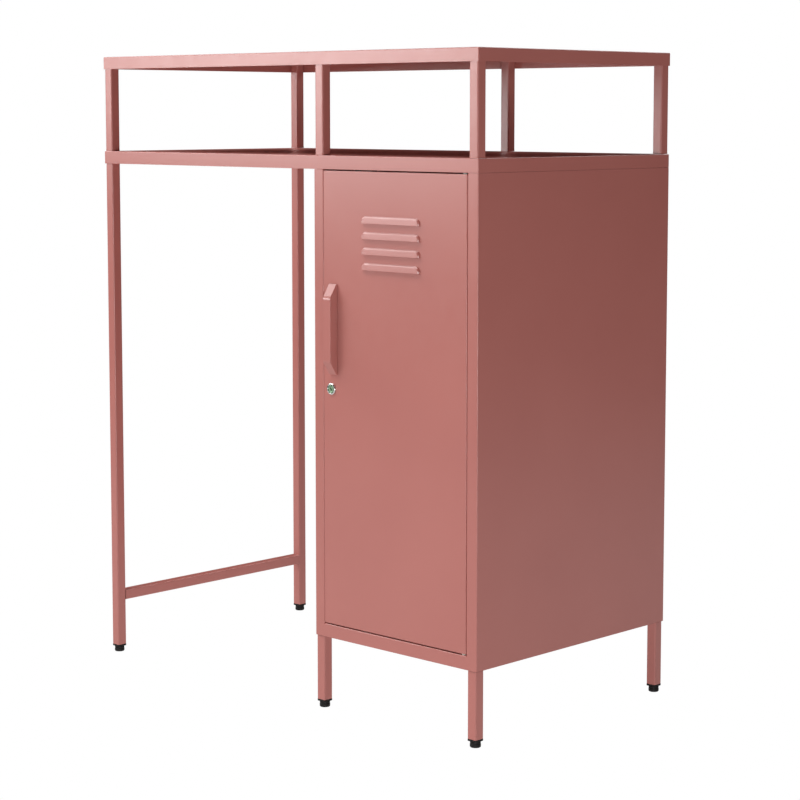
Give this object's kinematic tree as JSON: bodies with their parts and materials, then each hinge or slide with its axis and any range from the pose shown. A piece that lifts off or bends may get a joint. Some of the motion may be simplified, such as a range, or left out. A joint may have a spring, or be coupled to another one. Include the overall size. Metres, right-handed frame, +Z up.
{
  "type": "locker cabinet",
  "caption": "Folded-steel locker with louvred hinged door under an open two-tier rack on square posts, with a free bay for a small fridge beside it.",
  "frame": {"origin": "on the floor, under the centre of the whole object's bounding box, handle included", "axes": "+X to the right seen from the front, where the locker is; +Y to the back, the door and handle face -Y; +Z up"},
  "size_m": [0.945, 0.517, 1.136],
  "materials": {
    "coral_paint": "satin powder coat, dusty coral pink",
    "black_plastic": "moulded black plastic, satin",
    "zinc_plate": "bright zinc plate",
    "chrome_plate": "polished chrome plate",
    "lock_face": "pale grey-green plated die casting, satin",
    "white_nylon": "natural nylon"
  },
  "bodies": {
    "cabinet": {"top_tray": "coral_paint", "top_tray_stiffener": "coral_paint", "mid_shelf": "coral_paint", "mid_shelf_stiffener": "coral_paint", "post_front_left": "coral_paint", "post_front_middle": "coral_paint", "post_front_right": "coral_paint", "post_rear_left": "coral_paint", "post_rear_middle": "coral_paint", "post_rear_right": "coral_paint", "leg_front_left": "coral_paint", "leg_rear_left": "coral_paint", "locker_leg_front_middle": "coral_paint", "locker_leg_front_right": "coral_paint", "locker_leg_rear_middle": "coral_paint", "locker_leg_rear_right": "coral_paint", "left_leg_stretcher": "coral_paint", "left_side_panel": "coral_paint", "right_side_panel": "coral_paint", "back_panel": "coral_paint", "bottom_panel": "coral_paint", "header_rail": "coral_paint", "inner_shelf": "coral_paint", "left_shelf_runner": "coral_paint", "right_shelf_runner": "coral_paint", "leg_plug_front_left": "black_plastic", "leg_plug_front_middle": "black_plastic", "leg_plug_front_right": "black_plastic", "leg_plug_rear_left": "black_plastic", "leg_plug_rear_middle": "black_plastic", "leg_plug_rear_right": "black_plastic", "magnetic_catch": "black_plastic", "post_bolt_front_left": "zinc_plate", "post_bolt_front_middle": "zinc_plate", "post_bolt_front_right": "zinc_plate", "post_bolt_rear_left": "zinc_plate", "post_bolt_rear_middle": "zinc_plate", "post_bolt_rear_right": "zinc_plate", "lower_hinge_pin": "zinc_plate", "upper_hinge_pin": "zinc_plate"},
    "door": {"door_panel": "coral_paint", "door_stiffener": "coral_paint", "door_handle": "coral_paint", "handle_screw_upper": "zinc_plate", "handle_screw_lower": "zinc_plate", "lock_barrel": "chrome_plate", "lock_nut": "zinc_plate", "lower_hinge_bush": "white_nylon", "upper_hinge_bush": "white_nylon"},
    "lock_core": {"lock_plug": "lock_face", "lock_cam": "zinc_plate", "cam_screw": "zinc_plate"},
    "foot_front_left": {"glide_front_left": "black_plastic"},
    "foot_front_middle": {"glide_front_middle": "black_plastic"},
    "foot_front_right": {"glide_front_right": "black_plastic"},
    "foot_rear_left": {"glide_rear_left": "black_plastic"},
    "foot_rear_middle": {"glide_rear_middle": "black_plastic"},
    "foot_rear_right": {"glide_rear_right": "black_plastic"}
  },
  "joints": [
    {"name": "door_hinge", "type": "hinge", "parent": "cabinet", "child": "door", "pos_m": [0.44045, -0.2365, 0.54415], "axis": [0, 0, 1], "range_deg": [0, 110]},
    {"name": "lock_turn", "type": "hinge", "parent": "door", "child": "lock_core", "pos_m": [0.1381, -0.2415, 0.5628], "axis": [0, 1, 0], "range_deg": [0, 90]},
    {"name": "foot_front_left_level", "type": "slide", "parent": "cabinet", "child": "foot_front_left", "axis": [0, 0, -1], "range_m": [0, 0.012]},
    {"name": "foot_front_middle_level", "type": "slide", "parent": "cabinet", "child": "foot_front_middle", "axis": [0, 0, -1], "range_m": [0, 0.012]},
    {"name": "foot_front_right_level", "type": "slide", "parent": "cabinet", "child": "foot_front_right", "axis": [0, 0, -1], "range_m": [0, 0.012]},
    {"name": "foot_rear_left_level", "type": "slide", "parent": "cabinet", "child": "foot_rear_left", "axis": [0, 0, -1], "range_m": [0, 0.012]},
    {"name": "foot_rear_middle_level", "type": "slide", "parent": "cabinet", "child": "foot_rear_middle", "axis": [0, 0, -1], "range_m": [0, 0.012]},
    {"name": "foot_rear_right_level", "type": "slide", "parent": "cabinet", "child": "foot_rear_right", "axis": [0, 0, -1], "range_m": [0, 0.012]}
  ]
}
